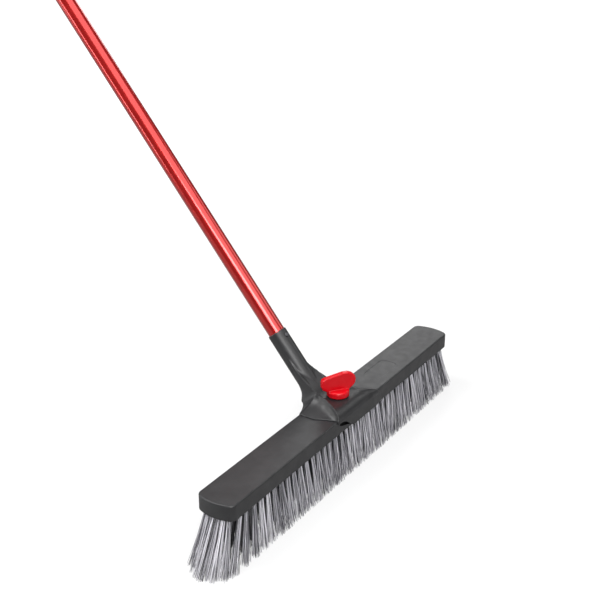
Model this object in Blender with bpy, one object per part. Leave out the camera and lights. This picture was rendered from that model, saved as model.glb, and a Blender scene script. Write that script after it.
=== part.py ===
"""Push broom: a long plastic block set with bristle tufts, a moulded bracket, a steel tube handle.

The origin lies on the floor, in the plane of the bristle tips, under the middle of the block.
+X runs along the block, -Y is the side that is pushed forward and +Z is up. The handle leans
back towards +Y in the plane x = 0. All lengths are in metres.
"""

import math

import bmesh
import bpy
from mathutils import Matrix, Vector

# Clearances
SEAT_GAP = 0.0003        # between two pieces that rest on or fit into each other

# Bristles
BRISTLE_TRIM = 0.076     # from the underside of the block to the tips
TUFT_WIDTH = 0.009       # a tuft where it leaves the block
ROOT_DEPTH = 0.003       # how far a row of tufts is set into the block
ROW_PITCH = 0.015        # between neighbouring rows at the block
TIP_SPREAD_Y = 0.0073    # how far the tips stand out past the long walls
TIP_SPREAD_X = 0.037     # how far the end tips stand out past the ends
TIP_GAP = 0.0006         # between neighbouring rows at the tips
MIDDLE_LEAN = 0.0030     # the front middle row's tips cross the middle line by this much
OUTER_ROW_SHORT = 0.012  # how much shorter than the space between the end tufts a row is
INNER_ROW_SHORT = 0.002
ROW_TIP_SHARE = 0.35     # share of the spread at the ends that the long rows fill
END_ROOT_INSET = 0.006   # from the block's end to the outermost tufts
END_TIP_INSET = 0.008    # the end tufts' tips stop this far inside the outer rows

# Block
BLOCK_LENGTH = 0.596
BLOCK_WIDTH = 0.0575
BLOCK_HEIGHT = 0.023
END_BULGE = 0.007        # how far the curved end stands out between its corners
CORNER_RADIUS = 0.010
TOP_ROUND = 0.0022       # rounding along the top edge
BOTTOM_ROUND = 0.0008

# Bracket
DECK_HEIGHT = 0.0130     # the flat deck under the knob, above the block
SKIRT_PROUD = 0.0030     # the front skirt stands this far out from the block's wall
SKIRT_LOW_LEFT = -0.006  # where the skirt's left edge meets the bottom of the wall
SKIRT_LOW_RIGHT = 0.074
FOOT_HALF = 0.060        # half the widest part of the foot
FOOT_FRONT_LEFT = 0.047
FOOT_FRONT_RIGHT = 0.066
HANDLE_TILT = math.radians(40.0)
TUBE_FOOT_Y = 0.035      # where the handle's axis crosses the block's top
SOCKET_LENGTH = 0.111    # from that crossing to the socket's mouth
SOCKET_WALL = 0.0013
BEND_RADIUS = 0.025      # of the concave bend between deck and socket
FRONT_ROLL = 0.0140      # rounding of the deck's front edge
FOOT_EDGE = 0.0018       # height of the foot's upright edge on the block's top
REAR_LIP = 0.004         # the foot hooks this far down behind the block

# Handle
HANDLE_DIAMETER = 0.0254
HANDLE_WALL = 0.0006
HANDLE_LENGTH = 1.524
SOCKET_DEPTH = 0.070     # of the handle inside the socket

# Knob and its bolt
KNOB_DIAMETER = 0.033
KNOB_COLLAR = 0.0100
KNOB_HEIGHT = 0.035
WING_SPAN = 0.052
WING_THICKNESS = 0.0085
WING_TURN = math.radians(-37.0)   # where the wing points when the knob is tight
KNOB_LIFT = 0.0009       # the knob's underside above the deck
HEAD_SEAT = 0.0035       # the bolt's head above the knob's underside
BOLT_DIAMETER = 0.0064
BOLT_SHORT = 0.0015      # the bolt's tip stays this far above the insert's foot
BOLT_HEAD = 0.0110       # across the corners of its hexagon head
BOLT_HEAD_HEIGHT = 0.0042
WASHER_DIAMETER = 0.021
WASHER_THICKNESS = 0.0015
INSERT_DIAMETER = 0.0120
INSERT_FLANGE = 0.0160
FLANGE_HEIGHT = 0.002
INSERT_LENGTH = 0.0140

# Rivet and hanging cap
RIVET_BELOW_MOUTH = 0.011
RIVET_DIAMETER = 0.0042
RIVET_HEAD = 0.0072
CAP_SLEEVE = 0.032
CAP_WALL = 0.0018
CAP_TONGUE = 0.034
HANG_HOLE = 0.0130
CAP_FLOOR = 0.003        # thickness of the cap's closed end
TONGUE_WIDTH = 0.025
TONGUE_THICKNESS = 0.006
HANG_HOLE_SHARE = 0.55   # how far up the tongue the hole sits

# Plug in the tube's lower end
PLUG_FLANGE = 0.0022
PLUG_STEM = 0.026

ROUND = 32               # sides of a large round piece
SMALL_ROUND = 20
OVERCUT = 0.002          # how far a cutter runs past the face it opens

BLOCK_BOTTOM = BRISTLE_TRIM
BLOCK_TOP = BLOCK_BOTTOM + BLOCK_HEIGHT
DECK_Z = BLOCK_TOP + DECK_HEIGHT
HANDLE_RADIUS = HANDLE_DIAMETER / 2
SOCKET_RADIUS = HANDLE_RADIUS + SEAT_GAP + SOCKET_WALL
AXIS = Vector((0, math.sin(HANDLE_TILT), math.cos(HANDLE_TILT)))
FRONT = Vector((0, -math.cos(HANDLE_TILT), math.sin(HANDLE_TILT)))
AXIS_FOOT = Vector((0, TUBE_FOOT_Y, BLOCK_TOP))
TUBE_START = SOCKET_LENGTH - SOCKET_DEPTH


def clear_scene():
    for obj in list(bpy.data.objects):
        bpy.data.objects.remove(obj, do_unlink=True)


def material(name, colour, roughness, metallic=0.0):
    made = bpy.data.materials.new(name)
    made.use_nodes = True
    shader = made.node_tree.nodes["Principled BSDF"]
    shader.inputs["Base Color"].default_value = (*colour, 1.0)
    shader.inputs["Roughness"].default_value = roughness
    shader.inputs["Metallic"].default_value = metallic
    made.diffuse_color = (*colour, 1.0)
    return made


def new_object(name, mesh, finish=None):
    obj = bpy.data.objects.new(name, mesh)
    bpy.context.scene.collection.objects.link(obj)
    if finish:
        mesh.materials.append(finish)
    return obj


def from_bmesh(name, shape, finish=None):
    bmesh.ops.recalc_face_normals(shape, faces=shape.faces)
    mesh = bpy.data.meshes.new(name)
    shape.to_mesh(mesh)
    shape.free()
    mesh.shade_smooth()
    mesh.set_sharp_from_angle(angle=math.radians(35))
    return new_object(name, mesh, finish)


def loft(name, rings, finish=None):
    """A closed solid through rings that hold the same number of points, capped at both ends."""
    shape = bmesh.new()
    made = [[shape.verts.new(point) for point in ring] for ring in rings]
    count = len(made[0])
    for low, high in zip(made, made[1:]):
        for i in range(count):
            j = (i + 1) % count
            shape.faces.new((low[i], low[j], high[j], high[i]))
    shape.faces.new(made[0])
    shape.faces.new(made[-1])
    bmesh.ops.triangulate(shape, faces=[face for face in shape.faces if len(face.verts) == 4])
    return from_bmesh(name, shape, finish)


def circle(centre, radius, direction, sides):
    """Points round an axis; the first lies on the side of the axis that faces the front."""
    along = Vector(direction).normalized()
    across = Vector((1, 0, 0)) if abs(along.x) < 0.9 else Vector((0, 1, 0))
    up = along.cross(across).normalized()
    points = []
    for i in range(sides):
        turn = 2 * math.pi * i / sides
        points.append(Vector(centre) + radius * (math.cos(turn) * up + math.sin(turn) * across))
    return points


def turned(name, base, direction, profile, sides, finish=None):
    """A turned piece: profile lists (distance along the axis, radius) from end to end."""
    along = Vector(direction).normalized()
    start = Vector(base)
    rings = [circle(start + along * reach, radius, along, sides) for reach, radius in profile]
    return loft(name, rings, finish)


def box(name, low, high, finish=None):
    (x0, y0, z0), (x1, y1, z1) = low, high
    rings = [[(x0, y0, z), (x1, y0, z), (x1, y1, z), (x0, y1, z)] for z in (z0, z1)]
    return loft(name, rings, finish)


def combine(obj, other, operation):
    """Cuts or joins another solid, which stays in the file as a hidden helper."""
    modifier = obj.modifiers.new(f"{operation.lower()} {other.name}", "BOOLEAN")
    modifier.operation = operation
    modifier.solver = "EXACT"
    modifier.object = other
    other.hide_render = True
    other.display_type = "WIRE"
    return obj


def cut(obj, *cutters):
    for cutter in cutters:
        combine(obj, cutter, "DIFFERENCE")
    return obj


def join(obj, *others):
    for other in others:
        combine(obj, other, "UNION")
    return obj


def axis_point(reach):
    """A point on the handle's axis, a distance above the block's top along that axis."""
    return AXIS_FOOT + AXIS * reach


# Block

def block_outline(inset):
    """The block's outline in plan, moved in by a distance: straight sides and bulging ends."""
    half = BLOCK_WIDTH / 2
    end_radius = (half ** 2 + END_BULGE ** 2) / (2 * END_BULGE)
    end_centre = BLOCK_LENGTH / 2 - end_radius
    corner_y = half - CORNER_RADIUS
    reach = math.sqrt((end_radius - CORNER_RADIUS) ** 2 - corner_y ** 2)
    meet = math.atan2(corner_y, reach)
    arc_steps, corner_steps = 8, 5
    quarter = []
    for i in range(arc_steps + 1):
        turn = -meet + 2 * meet * i / arc_steps
        radius = end_radius - inset
        quarter.append((end_centre + radius * math.cos(turn), radius * math.sin(turn)))
    upper = []
    for i in range(1, corner_steps + 1):
        turn = meet + (math.pi / 2 - meet) * i / corner_steps
        radius = CORNER_RADIUS - inset
        x = end_centre + reach + radius * math.cos(turn)
        upper.append((x, corner_y + radius * math.sin(turn)))
    lower = [(x, -y) for x, y in reversed(upper)]
    right = lower + quarter + upper
    left = [(-x, -y) for x, y in right]
    return right + left


def block_body(name, grown, finish=None):
    """The block without its holes, with every face moved out by a distance."""
    levels = [(BLOCK_BOTTOM - grown, BOTTOM_ROUND), (BLOCK_BOTTOM + BOTTOM_ROUND, 0.0)]
    for turn in (0, 30, 60, 90):
        angle = math.radians(turn)
        rise = TOP_ROUND * math.sin(angle)
        inset = TOP_ROUND * (1 - math.cos(angle))
        levels.append((BLOCK_TOP - TOP_ROUND + rise + grown * math.sin(angle), inset))
    rings = []
    for z, inset in levels:
        rings.append([(x, y, z) for x, y in block_outline(inset - grown)])
    return loft(name, rings, finish)


def groove_cutters():
    """The seats of the tuft rows and of the tufts round both ends."""
    cutters = []
    for row in bristle_rows():
        (x0, x1), (y0, y1) = row["root"]
        low = (x0 - SEAT_GAP, y0 - SEAT_GAP, BLOCK_BOTTOM - ROOT_DEPTH)
        high = (x1 + SEAT_GAP, y1 + SEAT_GAP, BLOCK_BOTTOM + ROOT_DEPTH + SEAT_GAP)
        cutters.append(box(f"seat of {row['name']}", low, high))
    return cutters


def insert_profile(grown):
    """The flanged insert from its foot to its top, as (height, radius)."""
    return [
        (-grown, INSERT_FLANGE / 2 + grown),
        (FLANGE_HEIGHT + grown, INSERT_FLANGE / 2 + grown),
        (FLANGE_HEIGHT + grown, INSERT_DIAMETER / 2 + grown),
        (INSERT_LENGTH, INSERT_DIAMETER / 2 + grown),
    ]


def insert_base():
    return BLOCK_TOP - SEAT_GAP - INSERT_LENGTH


def relief_cutter():
    """A shallow hollow in the front wall, under the skirt's slanting left edge."""
    depth = 0.006
    y0, y1 = -BLOCK_WIDTH / 2 - 0.002, -BLOCK_WIDTH / 2 + depth
    top = BLOCK_TOP - 0.5 * TOP_ROUND
    corners = [
        (-FOOT_FRONT_LEFT, top),
        (-FOOT_FRONT_LEFT + 0.008, top - 0.0095),
        (SKIRT_LOW_LEFT - 0.002, BLOCK_BOTTOM + 0.0025),
        (SKIRT_LOW_LEFT - 0.002, top),
    ]
    rings = [[(x, y, z) for x, z in corners] for y in (y0, y1)]
    return loft("relief under the skirt", rings)


def build_block():
    plastic = material("block plastic", (0.035, 0.036, 0.040), 0.45)
    block = block_body("block", 0.0, plastic)
    pocket = turned("insert pocket", (0, 0, insert_base()), (0, 0, 1),
                    insert_profile(SEAT_GAP)
                    + [(INSERT_LENGTH + OVERCUT, INSERT_DIAMETER / 2 + SEAT_GAP)], ROUND)
    return cut(block, *groove_cutters(), pocket, relief_cutter())


# Bristles

def bristle_rows():
    """Each row's box at the block and at the tips, as ((x0, x1), (y0, y1))."""
    half_tuft = TUFT_WIDTH / 2
    tip_edge = BLOCK_WIDTH / 2 + TIP_SPREAD_Y
    tip_width = 2 * tip_edge / 4
    end_root = BLOCK_LENGTH / 2 - END_ROOT_INSET
    end_start = end_root - TUFT_WIDTH
    names = ("bristle_row_front", "bristle_row_front_middle",
             "bristle_row_rear_middle", "bristle_row_rear")
    row_tip = BLOCK_LENGTH / 2 + ROW_TIP_SHARE * TIP_SPREAD_X
    edges = [-tip_edge, -tip_width, MIDDLE_LEAN, tip_width, tip_edge]
    rows = []
    for i, name in enumerate(names):
        y = (i - 1.5) * ROW_PITCH
        outer = i in (0, 3)
        reach = end_start - (OUTER_ROW_SHORT if outer else INNER_ROW_SHORT)
        rows.append({
            "name": name,
            "root": ((-reach, reach), (y - half_tuft, y + half_tuft)),
            "tip": ((-row_tip, row_tip), (edges[i] + TIP_GAP / 2, edges[i + 1] - TIP_GAP / 2)),
        })
    end_half = ROW_PITCH
    for name, side in (("bristle_end_left", -1), ("bristle_end_right", 1)):
        root = sorted((side * end_start, side * end_root))
        tip = sorted((side * (row_tip + TIP_GAP), side * (BLOCK_LENGTH / 2 + TIP_SPREAD_X)))
        rows.append({
            "name": name,
            "root": (root, (-end_half, end_half)),
            "tip": (tip, (-tip_edge + END_TIP_INSET, tip_edge - END_TIP_INSET)),
        })
    return rows


def build_bristles():
    fibre = material("bristle fibre", (0.62, 0.60, 0.68), 0.55)
    made = []
    for row in bristle_rows():
        rings = []
        stations = [(0.0, "tip"), (BLOCK_BOTTOM - SEAT_GAP, "root"),
                (BLOCK_BOTTOM + ROOT_DEPTH, "root")]
        for z, end in stations:
            (x0, x1), (y0, y1) = row[end]
            rings.append([(x0, y0, z), (x1, y0, z), (x1, y1, z), (x0, y1, z)])
        made.append(loft(row["name"], rings, fibre))
    return made


# Bracket

def blend(stations, at):
    """The values at a place, read off the straight lines between neighbouring stations."""
    for (low, first), (high, second) in zip(stations, stations[1:]):
        if at <= high:
            share = 0.0 if high == low else max(0.0, (at - low) / (high - low))
            return tuple(a + (b - a) * share for a, b in zip(first, second))
    return stations[-1][1]


def side_profile(depth, sink, edge, ridge, lift, half, swell):
    """Half a section of the saddle, as (x, height): over the deck, down the flank to the foot.

    ridge and lift place the top of the flank, sink lowers the deck's middle, half is the foot's
    half width, edge is how far its upright edge starts above the bottom, and swell turns the
    flank from hollow (0) to full (1).
    """
    deck_steps, flank_steps = 6, 6
    flat = KNOB_DIAMETER / 2 + 0.0015
    points = []
    for i in range(deck_steps + 1):
        x = ridge * i / deck_steps
        climb = max(0.0, (x - flat) / (ridge - flat)) if ridge > flat + 0.001 else i / deck_steps
        points.append((x, lift * climb ** 1.5 - sink * (1 - (x / ridge) ** 4)))
    drop = depth - edge
    bow_x = ridge + (0.10 + 0.75 * swell) * (half - ridge)
    bow_y = swell * 0.8 * lift - (0.78 - 0.68 * swell) * drop
    for i in range(1, flank_steps + 1):
        share = i / flank_steps
        start, middle, end = (1 - share) ** 2, 2 * share * (1 - share), share ** 2
        points.append((start * ridge + middle * bow_x + end * half,
                       start * lift + middle * bow_y - end * drop))
    return points + [(half, -depth)]


def bracket_ring(centre, down, depth, sink, edge, left, right):
    """One cross-section of the bracket's saddle, square to its spine.

    centre is on the deck's middle line and down points from it to the underside. left and right
    each hold a side's ridge, lift, foot half width and swell.
    """
    near = side_profile(depth, sink, edge, *left)
    far = side_profile(depth, sink, edge, *right)
    outline = [(-x, y) for x, y in reversed(near[1:])] + far
    return [Vector((x, 0, 0)) + centre - down * y for x, y in outline]


def saddle_rings():
    """Sections from the front edge, over the deck, round the bend and along the socket."""
    front_line = AXIS_FOOT + FRONT * SOCKET_RADIUS
    corner_y = front_line.y + AXIS.y * (DECK_Z - front_line.z) / AXIS.z
    bend = math.pi / 2 - HANDLE_TILT
    bend_start = corner_y - BEND_RADIUS * math.tan(bend / 2)
    pivot = Vector((0, bend_start, DECK_Z + BEND_RADIUS))
    base_z = BLOCK_TOP - REAR_LIP
    front_y = -BLOCK_WIDTH / 2 - SKIRT_PROUD + 0.0004
    left_side = [
        (front_y, (0.0460, 0.0, FOOT_FRONT_LEFT, 0.0)),
        (front_y + 0.005, (0.0450, 0.0008, 0.0484, 0.0)),
        (-0.013, (0.0370, 0.0026, 0.0522, 0.0)),
        (0.0, (0.0300, 0.0050, 0.0580, 0.0)),
        (0.004, (0.0288, 0.0057, FOOT_HALF, 0.0)),
        (bend_start, (0.0240, 0.0078, FOOT_HALF, 0.0)),
    ]
    right_side = [
        (front_y, (0.0360, -0.0020, FOOT_FRONT_RIGHT, 0.9)),
        (-0.024, (0.0340, -0.0015, 0.0595, 0.9)),
        (-0.018, (0.0320, -0.0008, 0.0545, 0.8)),
        (-0.012, (0.0300, 0.0004, 0.0515, 0.7)),
        (0.0, (0.0272, 0.0034, 0.0500, 0.4)),
        (0.008, (0.0252, 0.0062, 0.0525, 0.1)),
        (bend_start, (0.0240, 0.0078, FOOT_HALF, 0.0)),
    ]
    foot_edge = REAR_LIP + FOOT_EDGE
    places = [front_y + FRONT_ROLL * (1 - math.cos(math.radians(a))) for a in (0, 22, 45, 67, 90)]
    places += [-0.012, -0.006, 0.0, 0.008, bend_start]
    rings = []
    for y in places:
        into = min(1.0, (y - front_y) / FRONT_ROLL)
        top = DECK_Z - FRONT_ROLL * (1 - math.sqrt(1 - (1 - into) ** 2))
        rings.append(bracket_ring(Vector((0, y, top)), Vector((0, 0, -1)), top - base_z, 0.0,
                                  min(foot_edge, 0.7 * (top - base_z)), blend(left_side, y),
                                  blend(right_side, y)))
    around = [
        (0.0, (0.0240, 0.0078, FOOT_HALF, foot_edge)),
        (0.36, (0.0232, 0.0092, FOOT_HALF - 0.001, foot_edge)),
        (0.50, (0.0228, 0.0093, 0.043, 0.5 * foot_edge)),
        (0.64, (0.0224, 0.0084, 0.029, 0.0)),
        (0.80, (0.0220, 0.0075, 0.019, 0.0)),
        (1.0, (0.0215, 0.0062, 0.0125, 0.0)),
    ]
    for share in (0.18, 0.36, 0.50, 0.64, 0.80):
        angle = bend * share
        down = Vector((0, math.sin(angle), -math.cos(angle)))
        centre = pivot + down * BEND_RADIUS
        ridge, lift, half, edge = blend(around, share)
        depth = (centre.z - base_z) / math.cos(angle)
        side = (ridge, lift, half, 0.0)
        rings.append(bracket_ring(centre, down, depth, 0.0, edge, side, side))
    start = (pivot - FRONT * BEND_RADIUS - front_line).dot(AXIS)
    inner = 2 * SOCKET_RADIUS
    climb = [
        (start, (0.0215, 0.0062, 0.0, 0.92 * inner, 0.0115)),
        (start + 0.015, (0.0185, -0.0012, 0.002, 0.80 * inner, 0.0110)),
        (start + 0.030, (0.0162, -0.0079, 0.004, 0.75 * inner, 0.0100)),
        (start + 0.047, (0.0150, -0.0099, 0.004, 0.70 * inner, 0.0090)),
        (start + 0.062, (0.0136, -0.0120, 0.002, 0.65 * inner, 0.0080)),
    ]
    for reach, (ridge, lift, sink, depth, half) in climb:
        side = (ridge, lift, half, 0.0)
        rings.append(bracket_ring(front_line + AXIS * reach, -FRONT, depth, sink, 0.0, side, side))
    return rings


def socket_tube():
    """The round socket, from the level of the saddle's underside up to its mouth."""
    low = BLOCK_TOP - REAR_LIP + 0.0003
    mouth = circle(axis_point(SOCKET_LENGTH), SOCKET_RADIUS, AXIS, ROUND)
    foot = [point - AXIS * ((point.z - low) / AXIS.z) for point in mouth]
    return loft("socket", [foot, mouth])


def skirt():
    """The front skirt that hangs over the block's wall; its left edge slants down to the right."""
    outer = -BLOCK_WIDTH / 2 - SKIRT_PROUD
    inner = -BLOCK_WIDTH / 2 + 0.004
    top = DECK_Z - FRONT_ROLL + 0.0005
    corners = [
        (-FOOT_FRONT_LEFT + 0.001, top),
        (0.4 * SKIRT_LOW_LEFT - 0.6 * 0.043, BLOCK_TOP - 0.007),
        (SKIRT_LOW_LEFT, BLOCK_BOTTOM),
        (SKIRT_LOW_RIGHT, BLOCK_BOTTOM),
        (FOOT_FRONT_RIGHT, BLOCK_TOP - 0.002),
        (FOOT_FRONT_RIGHT - 0.001, top),
    ]
    rings = [[(x, y, z) for x, z in corners] for y in (outer, inner)]
    return loft("bracket skirt", rings)


def build_bracket():
    plastic = material("bracket plastic", (0.030, 0.031, 0.034), 0.40)
    bracket = loft("bracket", saddle_rings(), plastic)
    join(bracket, socket_tube(), skirt())
    seat = block_body("bracket seat", SEAT_GAP)
    bore = turned("socket bore", axis_point(TUBE_START - 0.003), AXIS,
                  [(0, HANDLE_RADIUS + SEAT_GAP), (SOCKET_DEPTH + 0.01, HANDLE_RADIUS + SEAT_GAP)],
                  ROUND)
    bolt_hole = turned("bolt hole", (0, 0, BLOCK_TOP - 0.01), (0, 0, 1),
                       [(0, BOLT_DIAMETER / 2 + SEAT_GAP), (0.03, BOLT_DIAMETER / 2 + SEAT_GAP)],
                       SMALL_ROUND)
    return cut(bracket, seat, bore, bolt_hole, rivet_hole("rivet hole in the socket"))


# Handle

def rivet_hole(name):
    centre = axis_point(SOCKET_LENGTH - RIVET_BELOW_MOUTH)
    radius = RIVET_DIAMETER / 2 + SEAT_GAP
    return turned(name, centre + FRONT * 0.004, FRONT, [(0, radius), (0.016, radius)], SMALL_ROUND)


def build_handle():
    steel = material("handle coated steel", (0.60, 0.035, 0.040), 0.22)
    tube = turned("handle_tube", axis_point(TUBE_START), AXIS,
                  [(0, HANDLE_RADIUS), (HANDLE_LENGTH, HANDLE_RADIUS)], ROUND, steel)
    inner = HANDLE_RADIUS - HANDLE_WALL
    inside = turned("handle inside", axis_point(TUBE_START - 0.005), AXIS,
                    [(0, inner), (HANDLE_LENGTH + 0.01, inner)], ROUND)
    return cut(tube, inside, rivet_hole("rivet hole in the tube"))


def build_foot_plug():
    """The moulded plug that closes the lower end of the tube; its flange sits in the socket."""
    plastic = material("plug plastic", (0.05, 0.05, 0.05), 0.5)
    flange, stem = PLUG_FLANGE, PLUG_STEM
    inner = HANDLE_RADIUS - HANDLE_WALL - SEAT_GAP
    base = axis_point(TUBE_START - SEAT_GAP - flange)
    profile = [(0, HANDLE_RADIUS - 0.001), (0.001, HANDLE_RADIUS - 0.0002),
               (flange, HANDLE_RADIUS - 0.0002), (flange, inner),
               (flange + stem - 0.002, inner), (flange + stem, inner - 0.0015)]
    return turned("handle_foot_plug", base, AXIS, profile, ROUND, plastic)


def build_rivet():
    steel = material("rivet steel", (0.10, 0.10, 0.105), 0.35, 1.0)
    centre = axis_point(SOCKET_LENGTH - RIVET_BELOW_MOUTH)
    out = SOCKET_RADIUS + SEAT_GAP
    shank = RIVET_DIAMETER / 2
    head = RIVET_HEAD / 2
    profile = [(HANDLE_RADIUS - 0.005, shank * 0.7), (HANDLE_RADIUS - 0.0035, shank), (out, shank),
               (out, head), (out + 0.0006, head), (out + 0.0011, head * 0.72),
               (out + 0.0013, head * 0.3)]
    return turned("socket_rivet", centre, FRONT, profile, SMALL_ROUND, steel)


def build_hang_cap():
    """The cap on the handle's free end: a sleeve over the tube and a tongue with a hole."""
    plastic = material("cap plastic", (0.03, 0.03, 0.033), 0.42)
    outer = HANDLE_RADIUS + SEAT_GAP + CAP_WALL
    end = TUBE_START + HANDLE_LENGTH
    floor = CAP_FLOOR
    profile = [(-CAP_SLEEVE, outer - 0.0008), (-CAP_SLEEVE + 0.001, outer), (floor, outer),
               (floor + 0.005, outer - 0.0015), (floor + 0.009, outer - 0.006)]
    cap = turned("hang_cap", axis_point(end), AXIS, profile, ROUND, plastic)
    tongue = tongue_solid(end)
    hole_centre = axis_point(end + floor + HANG_HOLE_SHARE * CAP_TONGUE)
    hole = turned("hang hole", hole_centre - FRONT * TONGUE_THICKNESS, FRONT,
                  [(0, HANG_HOLE / 2), (2 * TONGUE_THICKNESS, HANG_HOLE / 2)], SMALL_ROUND)
    inside = turned("cap inside", axis_point(end - CAP_SLEEVE - OVERCUT), AXIS,
                    [(0, HANDLE_RADIUS + SEAT_GAP),
                     (CAP_SLEEVE + OVERCUT + SEAT_GAP, HANDLE_RADIUS + SEAT_GAP)], ROUND)
    join(cap, tongue)
    return cut(cap, inside, hole)


def tongue_solid(end):
    """A flat tongue with a round tip, standing on the cap's end."""
    half = TONGUE_WIDTH / 2
    points = [(-half, 0.001), (half, 0.001)]
    centre = CAP_TONGUE - half
    for i in range(13):
        turn = math.pi * i / 12
        points.append((half * math.cos(turn), centre + half * math.sin(turn)))
    rings = []
    for side in (-0.5, 0.5):
        shift = FRONT * TONGUE_THICKNESS * side
        rings.append([axis_point(end + reach) + Vector((x, 0, 0)) + shift for x, reach in points])
    return loft("cap tongue", rings)


# Knob

def build_knob(turntable):
    """The wing knob, with its origin on the bolt's axis at the deck."""
    plastic = material("knob plastic", (0.72, 0.010, 0.018), 0.28)
    base = DECK_Z + KNOB_LIFT
    radius = KNOB_DIAMETER / 2
    collar = turned("clamp_knob", (0, 0, base), (0, 0, 1),
                    [(0, radius - 0.0010), (0.0010, radius), (KNOB_COLLAR - 0.0025, radius),
                     (KNOB_COLLAR - 0.0007, radius - 0.0012), (KNOB_COLLAR, radius - 0.0035)],
                    ROUND, plastic)
    wing = knob_wing(base)
    head_base = base + HEAD_SEAT
    shank = BOLT_DIAMETER / 2 + SEAT_GAP
    head = BOLT_HEAD / 2 + SEAT_GAP
    recess = WASHER_DIAMETER / 2 + SEAT_GAP
    washer_top = DECK_Z + SEAT_GAP + WASHER_THICKNESS + SEAT_GAP
    bolt_space = turned("space for the bolt", (0, 0, base - OVERCUT), (0, 0, 1),
                        [(0, shank), (0.008, shank)], SMALL_ROUND)
    head_space = turned("space for the bolt head", (0, 0, head_base - SEAT_GAP), (0, 0, 1),
                        [(0, head), (BOLT_HEAD_HEIGHT + 2 * SEAT_GAP, head)], 6)
    washer_space = turned("space for the washer", (0, 0, base - OVERCUT), (0, 0, 1),
                          [(0, recess), (washer_top - base + OVERCUT, recess)], ROUND)
    join(collar, wing)
    cut(collar, bolt_space, head_space, washer_space)
    collar.parent = turntable
    return collar


def knob_wing(base):
    """The flat wing on the collar: wide at the top, waisted where it meets the collar."""
    top = KNOB_HEIGHT
    half = WING_SPAN / 2
    outline = [
        (-0.0135, 0.0050), (0.0135, 0.0050), (0.0175, 0.0095), (0.0225, 0.0130),
        (half - 0.0006, 0.0180), (half, 0.0240), (half - 0.0016, 0.0290), (0.0205, 0.0325),
        (0.0140, top), (0.0070, top), (-0.0080, top - 0.0028), (-0.0215, top - 0.0055),
        (-half + 0.0010, 0.0275), (-half, 0.0240), (-half, 0.0165), (-half + 0.0016, 0.0122),
        (-0.0185, 0.0088),
    ]
    shape = bmesh.new()
    thick = WING_THICKNESS / 2
    layers = ((-thick, 0.94), (-0.72 * thick, 1.0), (0.72 * thick, 1.0), (thick, 0.94))
    middle = 0.017
    made = []
    for y, size in layers:
        made.append([shape.verts.new((x * size, y, base + middle + (z - middle) * size))
                     for x, z in outline])
    for low, high in zip(made, made[1:]):
        for i in range(len(outline)):
            j = (i + 1) % len(outline)
            shape.faces.new((low[i], low[j], high[j], high[i]))
    shape.faces.new(made[0])
    shape.faces.new(made[-1])
    shape.transform(Matrix.Rotation(WING_TURN, 4, "Z"))
    return from_bmesh("knob wing", shape)


def build_bolt(turntable):
    steel = material("bolt zinc", (0.55, 0.55, 0.56), 0.35, 1.0)
    head_base = DECK_Z + KNOB_LIFT + HEAD_SEAT
    radius = BOLT_DIAMETER / 2
    bottom = insert_base() + BOLT_SHORT
    shank = turned("clamp_bolt", (0, 0, bottom), (0, 0, 1),
                   [(0, radius - 0.0008), (0.0010, radius), (head_base - bottom + 0.001, radius)],
                   SMALL_ROUND, steel)
    head = turned("bolt head", (0, 0, head_base), (0, 0, 1),
                  [(0, BOLT_HEAD / 2), (BOLT_HEAD_HEIGHT, BOLT_HEAD / 2)], 6)
    join(shank, head)
    shank.parent = turntable
    return shank


def build_washer():
    steel = material("washer zinc", (0.60, 0.60, 0.61), 0.35, 1.0)
    washer = turned("bolt_washer", (0, 0, DECK_Z + SEAT_GAP), (0, 0, 1),
                    [(0, WASHER_DIAMETER / 2), (WASHER_THICKNESS, WASHER_DIAMETER / 2)], ROUND, steel)
    hole = turned("washer hole", (0, 0, DECK_Z - OVERCUT), (0, 0, 1),
                  [(0, BOLT_DIAMETER / 2 + SEAT_GAP),
                   (WASHER_THICKNESS + 2 * OVERCUT, BOLT_DIAMETER / 2 + SEAT_GAP)], SMALL_ROUND)
    return cut(washer, hole)


def build_insert():
    brass = material("insert brass", (0.62, 0.45, 0.18), 0.35, 1.0)
    insert = turned("threaded_insert", (0, 0, insert_base()), (0, 0, 1), insert_profile(0.0),
                    ROUND, brass)
    hole = turned("insert hole", (0, 0, insert_base() - OVERCUT), (0, 0, 1),
                  [(0, BOLT_DIAMETER / 2 + SEAT_GAP),
                   (INSERT_LENGTH + 2 * OVERCUT, BOLT_DIAMETER / 2 + SEAT_GAP)], SMALL_ROUND)
    return cut(insert, hole)


def main():
    clear_scene()
    build_block()
    build_bristles()
    build_bracket()
    build_handle()
    build_foot_plug()
    build_rivet()
    build_hang_cap()
    turntable = bpy.data.objects.new("knob axis", None)
    bpy.context.scene.collection.objects.link(turntable)
    build_knob(turntable)
    build_bolt(turntable)
    build_washer()
    build_insert()


main()
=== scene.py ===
"""The finished look of a push broom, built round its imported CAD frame. All lengths are in metres.

The origin lies on the floor under the middle of the block. +X runs along the block, -Y is the
side that is pushed forward, and the handle leans back towards +Y in the plane x = 0.
"""

import math
import random

import bmesh
import bpy
from mathutils import Matrix, Quaternion, Vector


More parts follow.
